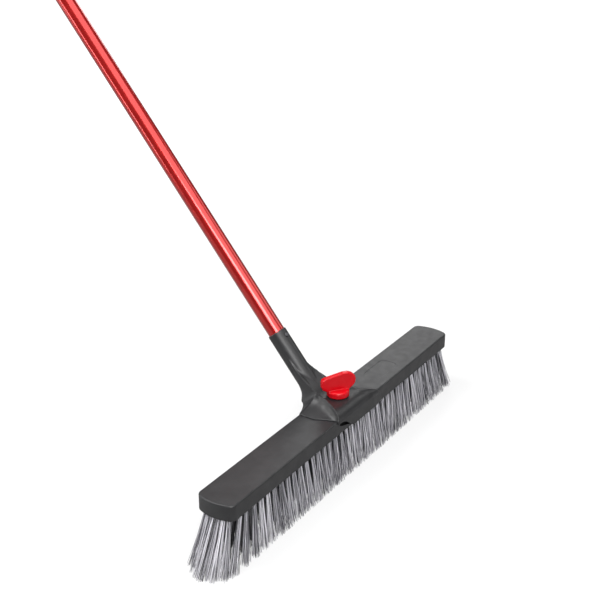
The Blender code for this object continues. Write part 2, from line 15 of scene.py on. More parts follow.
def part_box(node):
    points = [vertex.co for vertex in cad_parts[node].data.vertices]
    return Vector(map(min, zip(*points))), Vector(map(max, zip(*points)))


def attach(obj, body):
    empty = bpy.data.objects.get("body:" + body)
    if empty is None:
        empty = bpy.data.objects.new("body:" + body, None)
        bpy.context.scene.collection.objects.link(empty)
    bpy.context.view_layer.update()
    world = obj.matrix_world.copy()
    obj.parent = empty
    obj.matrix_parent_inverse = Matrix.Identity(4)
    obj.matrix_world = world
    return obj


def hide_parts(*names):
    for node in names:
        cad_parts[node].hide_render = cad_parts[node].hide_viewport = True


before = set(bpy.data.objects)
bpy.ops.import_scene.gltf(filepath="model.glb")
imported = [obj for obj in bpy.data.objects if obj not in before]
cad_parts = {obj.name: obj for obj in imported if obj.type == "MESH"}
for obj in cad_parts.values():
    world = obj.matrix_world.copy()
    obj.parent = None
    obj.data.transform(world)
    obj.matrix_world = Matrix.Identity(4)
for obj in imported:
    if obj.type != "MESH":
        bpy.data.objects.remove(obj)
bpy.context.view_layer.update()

# The camera stands off the block's left end and looks down along it with a long lens. Colours
# are shown as they are, with no film curve over them.
camera_data = bpy.data.cameras.new("long lens")
camera_data.lens = 66.71
camera_data.sensor_width = 36.0
camera = bpy.data.objects.new("camera", camera_data)
bpy.context.scene.collection.objects.link(camera)
eye = Vector((-1.1995, -0.7275, 0.8994))
looks_at = Vector((-0.09905, 0.0, 0.29982))
camera.location = eye
camera.rotation_euler = (eye - looks_at).to_track_quat("Z", "Y").to_euler()
bpy.context.scene.camera = camera
bpy.context.scene.view_settings.view_transform = "Standard"


# Block: one long bar of charcoal plastic, moulded with a fine satin grain. Its ends bulge between
# rounded corners, its upper edge is rolled, and the tufts are stapled into drilled holes.
block_low, block_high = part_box("block")
block_half_length = block_high.x
block_half_width = block_high.y
block_bottom, block_top = block_low.z, block_high.z
end_bulge = 0.007
corner_radius = 0.010
top_roll = 0.0022
bottom_roll = 0.0008
edge_hold = 0.0008        # flat strip beside a rounding that keeps the flat face's shading flat
fit_gap = 0.0003


def piece(name, mesh):
    """Puts a mesh in the scene as an object of its own."""
    made = bpy.data.objects.new(name, mesh)
    bpy.context.scene.collection.objects.link(made)
    return made


def smooth_by_angle(mesh, degrees=35.0):
    mesh.shade_smooth()
    mesh.set_sharp_from_angle(angle=math.radians(degrees))


def skin(name, rings, closed_ends=True):
    """A closed body drawn through rings that all hold the same number of points."""
    shape = bmesh.new()
    rows = [[shape.verts.new(point) for point in ring] for ring in rings]
    count = len(rows[0])
    for low, high in zip(rows, rows[1:]):
        for i in range(count):
            j = (i + 1) % count
            shape.faces.new((low[i], low[j], high[j], high[i]))
    if closed_ends:
        shape.faces.new(rows[0])
        shape.faces.new(rows[-1])
    else:
        for i in range(count):
            j = (i + 1) % count
            shape.faces.new((rows[-1][i], rows[-1][j], rows[0][j], rows[0][i]))
    bmesh.ops.recalc_face_normals(shape, faces=shape.faces)
    mesh = bpy.data.meshes.new(name)
    shape.to_mesh(mesh)
    shape.free()
    smooth_by_angle(mesh)
    return piece(name, mesh)


def hoop(centre, direction, radius, sides):
    """Points of a circle round an axis."""
    along = Vector(direction).normalized()
    across = Vector((1, 0, 0)) if abs(along.x) < 0.9 else Vector((0, 1, 0))
    up = along.cross(across).normalized()
    points = []
    for i in range(sides):
        turn = 2 * math.pi * i / sides
        points.append(Vector(centre) + radius * (math.cos(turn) * up + math.sin(turn) * across))
    return points


def lathe(name, base, direction, profile, sides):
    """A turned body: profile lists (distance along the axis, radius) from end to end."""
    along = Vector(direction).normalized()
    start = Vector(base)
    rings = [hoop(start + along * reach, along, radius, sides) for reach, radius in profile]
    return skin(name, rings)


def merge(name, parts):
    """One object out of several, which are used up."""
    shape = bmesh.new()
    for part in parts:
        shape.from_mesh(part.data)
        bpy.data.objects.remove(part)
    mesh = bpy.data.meshes.new(name)
    shape.to_mesh(mesh)
    shape.free()
    return piece(name, mesh)


def set_shape(body):
    """Fixes what the body's modifiers make of it as its own mesh."""
    graph = bpy.context.evaluated_depsgraph_get()
    mesh = bpy.data.meshes.new_from_object(body.evaluated_get(graph))
    body.modifiers.clear()
    body.data = mesh
    return body


def carve(body, *tools):
    """Takes the tools' shapes out of the body, and uses them up."""
    for tool in tools:
        modifier = body.modifiers.new("carve", "BOOLEAN")
        modifier.operation = "DIFFERENCE"
        modifier.solver = "EXACT"
        modifier.object = tool
        set_shape(body)
        bpy.data.objects.remove(tool)
    smooth_by_angle(body.data)
    return body


def block_outline(inset, end_steps=28, corner_steps=12):
    """The block's plan, moved in by a distance: straight sides, bulging ends, round corners."""
    half = block_half_width
    end_radius = (half ** 2 + end_bulge ** 2) / (2 * end_bulge)
    end_centre = block_half_length - end_radius
    corner_y = half - corner_radius
    reach = math.sqrt((end_radius - corner_radius) ** 2 - corner_y ** 2)
    meet = math.atan2(corner_y, reach)
    end = []
    for i in range(end_steps + 1):
        turn = -meet + 2 * meet * i / end_steps
        radius = end_radius - inset
        end.append((end_centre + radius * math.cos(turn), radius * math.sin(turn)))
    upper = []
    for i in range(1, corner_steps + 1):
        turn = meet + (math.pi / 2 - meet) * i / corner_steps
        radius = corner_radius - inset
        x = end_centre + reach + radius * math.cos(turn)
        upper.append((x, corner_y + radius * math.sin(turn)))
    right = [(x, -y) for x, y in reversed(upper)] + end + upper
    return right + [(-x, -y) for x, y in right]


def block_form(name, grown=0.0):
    """The block before it is drilled, with every face moved out by a distance."""
    levels = [(block_bottom - grown, bottom_roll + edge_hold)]
    for turn in (90, 60, 30, 0):
        angle = math.radians(turn)
        drop = bottom_roll * (1 - math.sin(angle))
        levels.append((block_bottom + drop - grown * math.sin(angle),
                       bottom_roll * (1 - math.cos(angle))))
    levels.append((block_bottom + bottom_roll + edge_hold, 0.0))
    levels.append((block_top - top_roll - edge_hold, 0.0))
    for turn in range(0, 91, 10):
        angle = math.radians(turn)
        levels.append((block_top - top_roll + (top_roll + grown) * math.sin(angle),
                       top_roll * (1 - math.cos(angle))))
    levels.append((block_top + grown, top_roll + edge_hold))
    rings = []
    for z, inset in levels:
        rings.append([(x, y, z) for x, y in block_outline(inset - grown)])
    return skin(name, rings)


def colour_ramp(nodes, stops):
    """A ramp through its stops, each a (position, colour)."""
    ramp = nodes.new("ShaderNodeValToRGB")
    for at, (place, colour) in enumerate(stops):
        mark = ramp.color_ramp.elements[at] if at < 2 else ramp.color_ramp.elements.new(place)
        mark.position = place
        mark.color = (*colour, 1.0)
    return ramp


def noise_ramp(nodes, links, scale, detail, stops, coordinates):
    """Noise run through a ramp."""
    noise = nodes.new("ShaderNodeTexNoise")
    noise.inputs["Scale"].default_value = scale
    noise.inputs["Detail"].default_value = detail
    links.new(coordinates, noise.inputs["Vector"])
    ramp = colour_ramp(nodes, stops)
    links.new(noise.outputs["Fac"], ramp.inputs["Fac"])
    return ramp.outputs["Color"]


def moulded_plastic(name, dark, light, gloss, grain_scale, grain_depth, coat=0.0):
    """Moulded plastic: a faint mottle in the colour, uneven gloss and a fine pressed grain."""
    made = bpy.data.materials.new(name)
    made.use_nodes = True
    nodes, links = made.node_tree.nodes, made.node_tree.links
    shader = nodes["Principled BSDF"]
    place = nodes.new("ShaderNodeTexCoord").outputs["Object"]
    colour = noise_ramp(nodes, links, 38.0, 5.0, [(0.35, dark), (0.68, light)], place)
    links.new(colour, shader.inputs["Base Color"])
    low, high = gloss
    rough = noise_ramp(nodes, links, 90.0, 4.0, [(0.3, (low,) * 3), (0.7, (high,) * 3)], place)
    links.new(rough, shader.inputs["Roughness"])
    grain = nodes.new("ShaderNodeTexNoise")
    grain.inputs["Scale"].default_value = grain_scale
    grain.inputs["Detail"].default_value = 3.0
    links.new(place, grain.inputs["Vector"])
    bump = nodes.new("ShaderNodeBump")
    bump.inputs["Strength"].default_value = grain_depth
    bump.inputs["Distance"].default_value = 0.0003
    links.new(grain.outputs["Fac"], bump.inputs["Height"])
    links.new(bump.outputs["Normal"], shader.inputs["Normal"])
    shader.inputs["Coat Weight"].default_value = coat
    shader.inputs["Coat Roughness"].default_value = 0.12
    return made


def wear(body, finish):
    """Gives a piece its finish, in place of whatever it had."""
    body.data.materials.clear()
    body.data.materials.append(finish)


tuft_radius = 0.0027
row_pitch = 0.015
tuft_pitch = 0.015
tufts_in_row = 37
end_tufts = 6
end_fan = math.radians(19)
end_inset = 0.0090        # from the block's end to the middle of an end tuft


def tuft_places():
    """Where the tufts leave the block, by row: (name of the CAD row, list of (x, y))."""
    rows = []
    names = ("bristle_row_front", "bristle_row_front_middle",
             "bristle_row_rear_middle", "bristle_row_rear")
    for i, name in enumerate(names):
        y = (i - 1.5) * row_pitch
        stagger = 0.5 * tuft_pitch if i % 2 else 0.0
        count = tufts_in_row - (i % 2)
        first = -0.5 * (tufts_in_row - 1) * tuft_pitch + stagger
        rows.append((name, [(first + k * tuft_pitch, y) for k in range(count)]))
    end_radius = (block_half_width ** 2 + end_bulge ** 2) / (2 * end_bulge)
    end_centre = block_half_length - end_radius
    for name, side in (("bristle_end_left", -1), ("bristle_end_right", 1)):
        places = []
        for k in range(end_tufts):
            turn = end_fan * (2 * k / (end_tufts - 1) - 1)
            radius = end_radius - end_inset
            places.append((side * (end_centre + radius * math.cos(turn)), radius * math.sin(turn)))
        rows.append((name, places))
    return rows


hole_depth = 0.004
drills = []
for row_name, places in tuft_places():
    for x, y in places:
        drills.append(lathe("drill", (x, y, block_bottom - hole_depth), (0, 0, 1),
                            [(0, tuft_radius + fit_gap),
                             (2 * hole_depth, tuft_radius + fit_gap)], 10))
insert_low, insert_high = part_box("threaded_insert")
insert_pocket = lathe("insert pocket", (0, 0, insert_low.z - fit_gap), (0, 0, 1),
                      [(0, insert_high.x + fit_gap),
                       (block_top - insert_low.z + 2 * fit_gap, insert_high.x + fit_gap)], 40)

# The hollow in the front wall under the bracket's slanting skirt edge.
skirt_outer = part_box("bracket")[0].y
hollow_depth = 0.006
hollow_corners = [(-0.047, block_top - 0.5 * top_roll), (-0.039, block_top - 0.0106),
                  (-0.008, block_bottom + 0.0025), (-0.008, block_top - 0.5 * top_roll)]
hollow = skin("hollow", [[(x, y, z) for x, z in hollow_corners]
                         for y in (-block_half_width - 0.002, -block_half_width + hollow_depth)])

# A blank panel, pressed a little way into the top beside the bracket.
panel_centre, panel_half = (0.1240, 0.0), (0.0300, 0.0145)
panel_round, panel_depth = 0.0085, 0.0005
panel_slope = 0.0006      # how far the panel's sides lean out, and the cut stands over the top


def panel_outline(grow):
    """The panel's plan, a rounded rectangle, moved out by a distance."""
    points = []
    for sx, sy, start in ((1, 1, 0), (-1, 1, 90), (-1, -1, 180), (1, -1, 270)):
        for step in range(9):
            turn = math.radians(start + 90 * step / 8)
            x = panel_centre[0] + sx * (panel_half[0] - panel_round)
            y = panel_centre[1] + sy * (panel_half[1] - panel_round)
            radius = panel_round + grow
            points.append((x + radius * math.cos(turn), y + radius * math.sin(turn)))
    return points


panel = skin("panel", [[(x, y, block_top - panel_depth) for x, y in panel_outline(-0.0004)],
                       [(x, y, block_top + panel_slope) for x, y in panel_outline(panel_slope)]])

block = carve(block_form("block_shell"), merge("drills", drills), insert_pocket, hollow, panel)
wear(block, moulded_plastic("satin charcoal", (0.010, 0.010, 0.011), (0.016, 0.016, 0.017),
                            (0.40, 0.48), 2600.0, 0.06))
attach(block, "broom")
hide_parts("block")


# Bristles: tufts of stiff pale fibre with darker ones mixed in, folded over a wire staple in each
# hole. Each tuft spreads as it falls, and the ones round the ends fan out past the block. The
# middle rows are darkened as painted shade.
fibres_in_tuft = 46
fibre_radius = 0.00046
tip_reach = (0.0080, 0.0062)   # half of a tuft's spread at the tips, along X and Y
fibre_joints = 5
tip_unevenness = 0.0012
fibre_bow = 0.0006
front_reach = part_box("bristle_row_front")[0].y
end_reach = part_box("bristle_end_right")[1].x
# How far the tips stand off to +X from where the tuft leaves the block: (x, lean).
lean_stations = [(-0.290, -0.038), (-0.284, -0.036), (-0.268, -0.026), (-0.245, -0.008),
                 (-0.215, 0.001), (-0.150, 0.005), (0.100, 0.006), (0.200, 0.009), (0.262, 0.022),
                 (0.290, 0.036)]


def read_off(stations, at):
    """The value at a place, on straight lines between neighbouring stations."""
    for (low, first), (high, second) in zip(stations, stations[1:]):
        if at <= high:
            share = max(0.0, (at - low) / (high - low))
            return first + (second - first) * share
    return stations[-1][1]


def grow_tuft(shape, root, tip, draw):
    """Adds one tuft's fibres, each a thin three-sided rod that bows a little."""
    for _ in range(fibres_in_tuft):
        turn = draw.uniform(0, 2 * math.pi)
        share = math.sqrt(draw.uniform(0, 1))
        start = Vector((math.cos(turn), math.sin(turn), 0)) * share * tuft_radius
        stray = turn + draw.gauss(0, 0.35)
        across, along = math.cos(stray), math.sin(stray)
        spread = min(1.1, max(0.0, share + draw.gauss(0, 0.08))) / max(abs(across), abs(along))
        end = Vector((across * tip_reach[0], along * tip_reach[1], 0)) * spread
        room_x, room_y = end_reach - fibre_radius, -front_reach - fibre_radius
        end.x = min(room_x - tip.x, max(-room_x - tip.x, end.x))
        end.y = min(room_y - tip.y, max(-room_y - tip.y, end.y))
        end.z = draw.uniform(0, 1) ** 2.5 * tip_unevenness
        bow = Vector((draw.gauss(0, fibre_bow), draw.gauss(0, fibre_bow), 0))
        radius = fibre_radius * draw.uniform(0.85, 1.1)
        phase = draw.uniform(0, 2 * math.pi)
        rings = []
        for joint in range(fibre_joints):
            down = joint / (fibre_joints - 1)
            at = root.lerp(tip, down) + start.lerp(end, down ** 2)
            at += bow * math.sin(math.pi * down)
            slender = radius * (1 - 0.35 * down ** 3)
            ring = []
            for corner in range(3):
                angle = phase + 2 * math.pi * corner / 3
                offset = Vector((math.cos(angle), math.sin(angle), 0)) * slender
                ring.append(shape.verts.new(at + offset))
            rings.append(ring)
        for high, low in zip(rings, rings[1:]):
            for i in range(3):
                j = (i + 1) % 3
                shape.faces.new((high[j], high[i], low[i], low[j]))
        shape.faces.new(rings[0])
        shape.faces.new(rings[-1][::-1])


def fibre_finish(name, depth):
    """Mixed fibres: each takes its own tone, lowered by depth, a factor below one that paints shade
    into the colour, and darkens towards the tip.
    """
    made = bpy.data.materials.new(name)
    made.use_nodes = True
    nodes, links = made.node_tree.nodes, made.node_tree.links
    shader = nodes["Principled BSDF"]
    one_by_one = nodes.new("ShaderNodeNewGeometry").outputs["Random Per Island"]
    stops = [(0.0, (0.015, 0.015, 0.018)), (0.20, (0.050, 0.050, 0.056)),
             (0.32, (0.22, 0.217, 0.24)), (0.62, (0.46, 0.453, 0.49)), (1.0, (0.68, 0.67, 0.71))]
    shade = colour_ramp(nodes, [(place, tuple(depth * part for part in colour))
                                for place, colour in stops])
    links.new(one_by_one, shade.inputs["Fac"])
    place = nodes.new("ShaderNodeTexCoord").outputs["Object"]
    height = nodes.new("ShaderNodeSeparateXYZ")
    links.new(place, height.inputs["Vector"])
    fall = nodes.new("ShaderNodeMapRange")
    fall.inputs["From Min"].default_value = 0.0
    fall.inputs["From Max"].default_value = 0.030
    fall.inputs["To Min"].default_value = 0.80
    fall.inputs["To Max"].default_value = 1.0
    links.new(height.outputs["Z"], fall.inputs["Value"])
    tint = nodes.new("ShaderNodeMix")
    tint.data_type = "RGBA"
    tint.blend_type = "MULTIPLY"
    tint.inputs["Factor"].default_value = 1.0
    links.new(shade.outputs["Color"], tint.inputs["A"])
    links.new(fall.outputs["Result"], tint.inputs["B"])
    links.new(tint.outputs["Result"], shader.inputs["Base Color"])
    streak = noise_ramp(nodes, links, 420.0, 2.0, [(0.3, (0.34,) * 3), (0.7, (0.56,) * 3)], place)
    links.new(streak, shader.inputs["Roughness"])
    return made


outer_fibre = fibre_finish("mixed pale fibre", 1.0)
# The middle rows wear the same fibre with painted shade: its colour is cut to 0.28 to stand in for
# the shade inside the brush.
inner_fibre_painted_shade = fibre_finish("mixed fibre painted shade", 0.28)
tip_rows = (-0.0299, -0.0085, 0.0085, 0.0299)    # where the long rows' tips stand, along Y
end_spread = 1.45         # how much farther apart the end tufts' tips stand than their roots
end_round = 0.35          # share of its lean that the outermost end tuft gives up
end_half = 0.0165         # from the middle to the outermost end tuft
tip_stray = (0.0012, 0.0006)
draw = random.Random(7)
for number, (row_name, places) in enumerate(tuft_places()):
    shape = bmesh.new()
    for x, y in places:
        lean = read_off(lean_stations, x)
        tip_x = x + lean
        if number < len(tip_rows):
            tip_y = tip_rows[number]
        else:
            tip_y = y * end_spread
            tip_x -= end_round * lean * (y / end_half) ** 2
        limit = end_reach - 0.6 * tip_reach[0]
        tip_x = min(limit, max(-limit, tip_x + draw.gauss(0, tip_stray[0])))
        root = Vector((x, y, block_bottom + 0.6 * hole_depth))
        tip = Vector((tip_x, tip_y + draw.gauss(0, tip_stray[1]), 0))
        grow_tuft(shape, root, tip, draw)
    mesh = bpy.data.meshes.new(row_name)
    shape.to_mesh(mesh)
    shape.free()
    tufts = piece(row_name.replace("bristle", "tufts"), mesh)
    # The middle rows take the fibre with painted shade.
    wear(tufts, inner_fibre_painted_shade if "middle" in row_name else outer_fibre)
    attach(tufts, "broom")
    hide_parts(row_name)


# Bracket: one near-black moulding. A saddle hugs the block's top, a skirt hooks over its front
# wall, two ridges climb from the deck into the round socket, and the socket takes the handle.
handle_tilt = math.radians(40.0)
axis = Vector((0, math.sin(handle_tilt), math.cos(handle_tilt)))
front = Vector((0, -math.cos(handle_tilt), math.sin(handle_tilt)))
axis_foot = Vector((0, 0.035, block_top))
socket_length = 0.111
handle_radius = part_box("handle_tube")[1].x
socket_radius = handle_radius + fit_gap + 0.0013
socket_depth = 0.070
deck_z = block_top + 0.013
bend_radius = 0.025
front_roll = 0.014
knob_radius = 0.0165
foot_half = 0.060
foot_edge = 0.0058        # how far above the underside the foot's upright edge starts
base_z = block_top - 0.004


def on_axis(reach):
    """A point on the handle's axis, a distance up from the block's top."""
    return axis_foot + axis * reach


def read_many(stations, at):
    """Several values at a place, each read off on its own."""
    columns = zip(*[values for _, values in stations])
    return tuple(read_off([(place, value) for (place, _), value in zip(stations, column)], at)
                 for column in columns)


deck_steps, flank_steps = 8, 12       # points across half of the deck, and down a flank


def side_profile(depth, sink, edge, ridge, lift, half, swell):
    """Half a section, as (x, height over the deck): out over the deck, which sinks a little and
    rises to the ridge, then down a flank that is hollow (swell 0) or full (1), to the foot."""
    flat = knob_radius + 0.0015
    points = []
    for i in range(deck_steps + 1):
        x = ridge * i / deck_steps
        climb = max(0.0, (x - flat) / (ridge - flat)) if ridge > flat + 0.001 else i / deck_steps
        points.append((x, lift * climb ** 1.5 - sink * (1 - (x / ridge) ** 4)))
    drop = depth - edge
    bow_x = ridge + (0.10 + 0.75 * swell) * (half - ridge)
    bow_y = swell * 0.8 * lift - (0.78 - 0.68 * swell) * drop
    for i in range(1, flank_steps + 1):
        share = i / flank_steps
        start, middle, end = (1 - share) ** 2, 2 * share * (1 - share), share ** 2
        points.append((start * ridge + middle * bow_x + end * half,
                       start * lift + middle * bow_y - end * drop))
    return points + [(half, -depth)]


def saddle_section(centre, down, depth, sink, edge, left, right):
    """One section of the saddle, square to its spine."""
    near = side_profile(depth, sink, edge, *left)
    far = side_profile(depth, sink, edge, *right)
    outline = [(-x, y) for x, y in reversed(near[1:])] + far
    return [Vector((x, 0, 0)) + centre - down * y for x, y in outline]


def saddle_sections():
    """From the front edge over the deck, round the bend and up the socket."""
    front_line = axis_foot + front * socket_radius
    corner_y = front_line.y + axis.y * (deck_z - front_line.z) / axis.z
    bend = math.pi / 2 - handle_tilt
    bend_start = corner_y - bend_radius * math.tan(bend / 2)
    pivot = Vector((0, bend_start, deck_z + bend_radius))
    front_y = skirt_outer + 0.0004
    # Each side as (y, (ridge, lift, foot's half width, swell)).
    left_side = [(front_y, (0.0460, 0.0, 0.0470, 0.0)),
                 (front_y + 0.005, (0.0450, 0.0008, 0.0484, 0.0)),
                 (-0.013, (0.0370, 0.0026, 0.0522, 0.0)), (0.0, (0.0300, 0.0050, 0.0580, 0.0)),
                 (0.004, (0.0288, 0.0057, foot_half, 0.0)),
                 (bend_start, (0.0240, 0.0078, foot_half, 0.0))]
    right_side = [(front_y, (0.0360, -0.0020, 0.0660, 0.9)),
                  (-0.024, (0.0340, -0.0015, 0.0595, 0.9)),
                  (-0.018, (0.0320, -0.0008, 0.0545, 0.8)),
                  (-0.012, (0.0300, 0.0004, 0.0515, 0.7)), (0.0, (0.0272, 0.0034, 0.0500, 0.4)),
                  (0.008, (0.0252, 0.0062, 0.0525, 0.1)),
                  (bend_start, (0.0240, 0.0078, foot_half, 0.0))]
    places = [front_y + front_roll * (1 - math.cos(math.radians(a))) for a in range(0, 91, 15)]
    places += [-0.013, -0.009, -0.005, 0.0, 0.004, 0.008, bend_start]
    sections = []
    for y in places:
        into = min(1.0, (y - front_y) / front_roll)
        top = deck_z - front_roll * (1 - math.sqrt(1 - (1 - into) ** 2))
        edge = min(foot_edge, 0.7 * (top - base_z))
        sections.append(saddle_section(Vector((0, y, top)), Vector((0, 0, -1)), top - base_z, 0.0,
                                       edge, read_many(left_side, y), read_many(right_side, y)))
    around = [(0.0, (0.0240, 0.0078, foot_half, foot_edge)),
              (0.36, (0.0232, 0.0092, foot_half - 0.001, foot_edge)),
              (0.50, (0.0228, 0.0093, 0.043, 0.5 * foot_edge)),
              (0.64, (0.0224, 0.0084, 0.029, 0.0)),
              (0.80, (0.0220, 0.0075, 0.019, 0.0)), (1.0, (0.0215, 0.0062, 0.0125, 0.0))]
    for share in (0.18, 0.36, 0.50, 0.64, 0.80):
        angle = bend * share
        down = Vector((0, math.sin(angle), -math.cos(angle)))
        centre = pivot + down * bend_radius
        ridge, lift, half, edge = read_many(around, share)
        depth = (centre.z - base_z) / math.cos(angle)
        side = (ridge, lift, half, 0.0)
        sections.append(saddle_section(centre, down, depth, 0.0, edge, side, side))
    start = (pivot - front * bend_radius - front_line).dot(axis)
    inner = 2 * socket_radius
    climb = [(start, (0.0215, 0.0062, 0.0, 0.92 * inner, 0.0115)),
             (start + 0.015, (0.0185, -0.0012, 0.002, 0.80 * inner, 0.0110)),
             (start + 0.030, (0.0162, -0.0079, 0.004, 0.75 * inner, 0.0100)),
             (start + 0.047, (0.0150, -0.0099, 0.004, 0.70 * inner, 0.0090)),
             (start + 0.062, (0.0136, -0.0120, 0.002, 0.65 * inner, 0.0080))]
    for reach, (ridge, lift, sink, depth, half) in climb:
        side = (ridge, lift, half, 0.0)
        sections.append(saddle_section(front_line + axis * reach, -front, depth, sink, 0.0,
                                       side, side))
    return sections


def fill_in(rings, steps):
    """Rings between the given ones, on a smooth curve through them."""
    fine = []
    last = len(rings) - 1
    for k in range(last):
        before, here = rings[max(k - 1, 0)], rings[k]
        there, after = rings[k + 1], rings[min(k + 2, last)]
        for step in range(steps):
            t = step / steps
            ring = []
            for a, b, c, d in zip(before, here, there, after):
                ring.append(0.5 * ((2 * b) + (c - a) * t + (2 * a - 5 * b + 4 * c - d) * t * t
                                   + (3 * b - a - 3 * c + d) * t ** 3))
            fine.append(ring)
    fine.append(rings[-1])
    return fine


def fair(body, cell, rounds):
    """Melts overlapping bodies into one even surface and rounds its edges."""
    remesh = body.modifiers.new("even", "REMESH")
    remesh.mode = "VOXEL"
    remesh.voxel_size = cell
    set_shape(body)
    smooth = body.modifiers.new("round", "SMOOTH")
    smooth.factor = 0.5
    smooth.iterations = rounds
    set_shape(body)
    body.data.shade_smooth()
    return body


def rod(name, route, radius, sides=10):
    """A round rod along a route of points."""
    rings = []
    for k, point in enumerate(route):
        ahead = route[min(k + 1, len(route) - 1)] - route[max(k - 1, 0)]
        rings.append(hoop(point, ahead, radius, sides))
    return skin(name, rings)


saddle = skin("saddle", fill_in(saddle_sections(), 3))
mouth = hoop(on_axis(socket_length), axis, socket_radius, 72)
foot_ring = [point - axis * ((point.z - base_z) / axis.z) for point in mouth]
socket = skin("socket", [foot_ring, mouth])
skirt_face = [(-0.046, block_top - 0.0005), (-0.0282, block_top - 0.007), (-0.006, block_bottom),
              (0.056, block_bottom), (0.048, block_top - 0.002), (0.047, block_top - 0.0005)]
skirt_root = skirt_face[:3] + [(0.080, block_bottom), (0.074, block_top - 0.002),
                               (0.066, block_top - 0.0005)]
skirt = skin("skirt", [[(x, skirt_outer, z) for x, z in skirt_face],
                       [(x, -block_half_width - 0.0002, z) for x, z in skirt_root],
                       [(x, -block_half_width + 0.004, z) for x, z in skirt_root]])
bracket = fair(merge("bracket_shell", [saddle, socket, skirt]), 0.0008, 10)

# The crease under the rim, on both flanks, from beside the knob up onto the socket.
crease_radius, crease_sink = 0.0014, 0.0004
crease_route = [(0.0250, 0.0100, 0.1182), (0.0246, 0.0150, 0.1188), (0.0231, 0.0228, 0.1214),
                (0.0215, 0.0306, 0.1240), (0.0199, 0.0385, 0.1274), (0.0184, 0.0464, 0.1309),
                (0.0173, 0.0532, 0.1349)]
creases = []
for side in (-1, 1):
    route = []
    for x, y, z in crease_route:
        _, nearest, outward, _ = bracket.closest_point_on_mesh((side * x, y, z))
        route.append(nearest - outward * crease_sink)
    creases.append(rod("crease", route, crease_radius))
bore = lathe("bore", on_axis(socket_length - socket_depth - 0.003), axis,
             [(0, handle_radius + fit_gap), (socket_depth + 0.01, handle_radius + fit_gap)], 96)
bolt_radius = 0.0032
bolt_hole = lathe("bolt hole", (0, 0, block_top - 0.01), (0, 0, 1),
                  [(0, bolt_radius + fit_gap), (0.03, bolt_radius + fit_gap)], 32)
rivet_centre = on_axis(socket_length - 0.011)
rivet_radius = 0.0021
rivet_hole = lathe("rivet hole", rivet_centre + front * 0.004, front,
                   [(0, rivet_radius + fit_gap), (0.016, rivet_radius + fit_gap)], 24)
carve(bracket, *creases, block_form("seat", fit_gap), bore, bolt_hole, rivet_hole)
wear(bracket, moulded_plastic("satin black", (0.009, 0.009, 0.010), (0.014, 0.014, 0.015),
                              (0.40, 0.48), 2200.0, 0.05))
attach(bracket, "broom")
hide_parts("bracket")


# Handle: a thin steel tube, 1 in across, in glossy red powder coat. Its foot is closed by a
# moulded plug inside the socket, and a blackened rivet holds it there.
handle_length = 1.524
handle_wall = 0.0006
handle_start = socket_length - socket_depth
tube_sides = 96
inner_radius = handle_radius - handle_wall
edge_round = 0.0002
tube_profile = [(0, inner_radius), (0, handle_radius - edge_round), (edge_round, handle_radius)]
tube_profile += [(handle_length * k / 12, handle_radius) for k in range(1, 12)]
tube_profile += [(handle_length - edge_round, handle_radius),
                 (handle_length, handle_radius - edge_round), (handle_length, inner_radius)]
tube_rings = [hoop(on_axis(handle_start + reach), axis, radius, tube_sides)
              for reach, radius in tube_profile]
handle = skin("handle_shell", tube_rings, closed_ends=False)


def powder_coat(name):
    """Glossy red powder coat: faint orange peel, a clear skin over a warm red."""
    made = moulded_plastic(name, (0.36, 0.009, 0.008), (0.42, 0.012, 0.010), (0.20, 0.26),
                           900.0, 0.008, coat=0.6)
    shader = made.node_tree.nodes["Principled BSDF"]
    shader.inputs["Metallic"].default_value = 0.6
    shader.inputs["Coat Roughness"].default_value = 0.06
    return made


wear(handle, powder_coat("red powder coat"))
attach(handle, "broom")
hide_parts("handle_tube")

wear(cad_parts["handle_foot_plug"],
     moulded_plastic("plug grey", (0.10, 0.10, 0.10), (0.14, 0.14, 0.14), (0.45, 0.6), 1500.0, 0.2))


def worked_metal(name, dark, light, gloss, scratch_scale):
    """Plated or blackened metal with a fine scratched surface."""
    made = moulded_plastic(name, dark, light, gloss, scratch_scale, 0.15)
    made.node_tree.nodes["Principled BSDF"].inputs["Metallic"].default_value = 1.0
    return made


wear(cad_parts["socket_rivet"],
     worked_metal("blackened steel", (0.06, 0.06, 0.065), (0.12, 0.12, 0.13), (0.3, 0.45), 1800.0))


# Cap: a black moulding with three grip ribs, pushed over the handle's free end. Its flat tongue
# has a round hole to hang the broom by.
cap_sleeve, cap_wall, cap_floor, cap_tongue = 0.032, 0.0018, 0.003, 0.034
tongue_half, tongue_thick, hang_radius = 0.0125, 0.0060, 0.0065
cap_outer = handle_radius + fit_gap + cap_wall
handle_end = handle_start + handle_length
cap_profile = [(-cap_sleeve, cap_outer - 0.0008), (-cap_sleeve + 0.001, cap_outer),
               (cap_floor, cap_outer), (cap_floor + 0.005, cap_outer - 0.0015),
               (cap_floor + 0.009, cap_outer - 0.006)]
cap_body = lathe("cap body", on_axis(handle_end), axis, cap_profile, 72)
cap_ribs = []
for k in range(3):
    at = -0.024 + 0.006 * k
    cap_ribs.append(lathe("rib", on_axis(handle_end + at - 0.0010), axis,
                          [(0, cap_outer - 0.001), (0.0005, cap_outer), (0.0015, cap_outer),
                           (0.0020, cap_outer - 0.001)], 72))
tongue_points = [(-tongue_half, 0.001), (tongue_half, 0.001)]
for k in range(25):
    turn = math.pi * k / 24
    tongue_points.append((tongue_half * math.cos(turn),
                          cap_tongue - tongue_half + tongue_half * math.sin(turn)))
tongue = skin("tongue", [[on_axis(handle_end + reach) + Vector((x, 0, 0))
                          + front * tongue_thick * side for x, reach in tongue_points]
                         for side in (-0.5, 0.5)])
cap = fair(merge("cap_shell", [cap_body, tongue] + cap_ribs), 0.0006, 4)
hole_centre = on_axis(handle_end + cap_floor + 0.55 * cap_tongue)
hang_hole = lathe("hang hole", hole_centre - front * 0.006, front,
                  [(0, hang_radius), (0.012, hang_radius)], 48)
